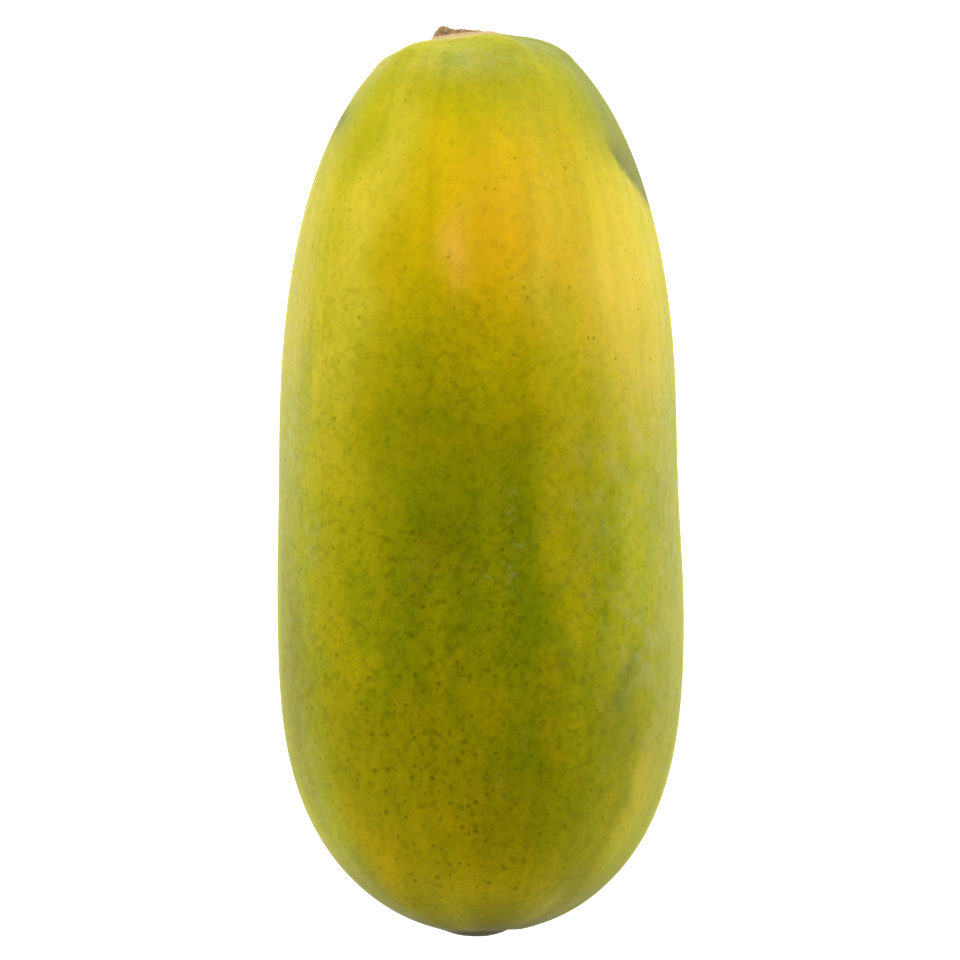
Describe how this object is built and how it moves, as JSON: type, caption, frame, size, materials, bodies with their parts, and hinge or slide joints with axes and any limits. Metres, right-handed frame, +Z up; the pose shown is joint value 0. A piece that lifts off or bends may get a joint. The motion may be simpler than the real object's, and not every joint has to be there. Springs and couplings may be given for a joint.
{
  "type": "papaya",
  "caption": "Large long papaya lying on its side: blunt lobed body that narrows to a domed stem end, with a low dry stub of its stalk.",
  "frame": {"origin": "on the table, in the flat spot under the fruit, straight below its weight", "axes": "+Z up; +Y along the fruit towards the stalk; +X to the right when seen from above with the stalk end away from the viewer"},
  "size_m": [0.1252, 0.2801, 0.1214],
  "materials": {
    "skin": "waxy fruit skin, yellow-green, satin",
    "dry_stalk": "dry and fibrous"
  },
  "bodies": {
    "root": {"fruit": "skin", "stalk_stub": "dry_stalk"}
  },
  "joints": []
}
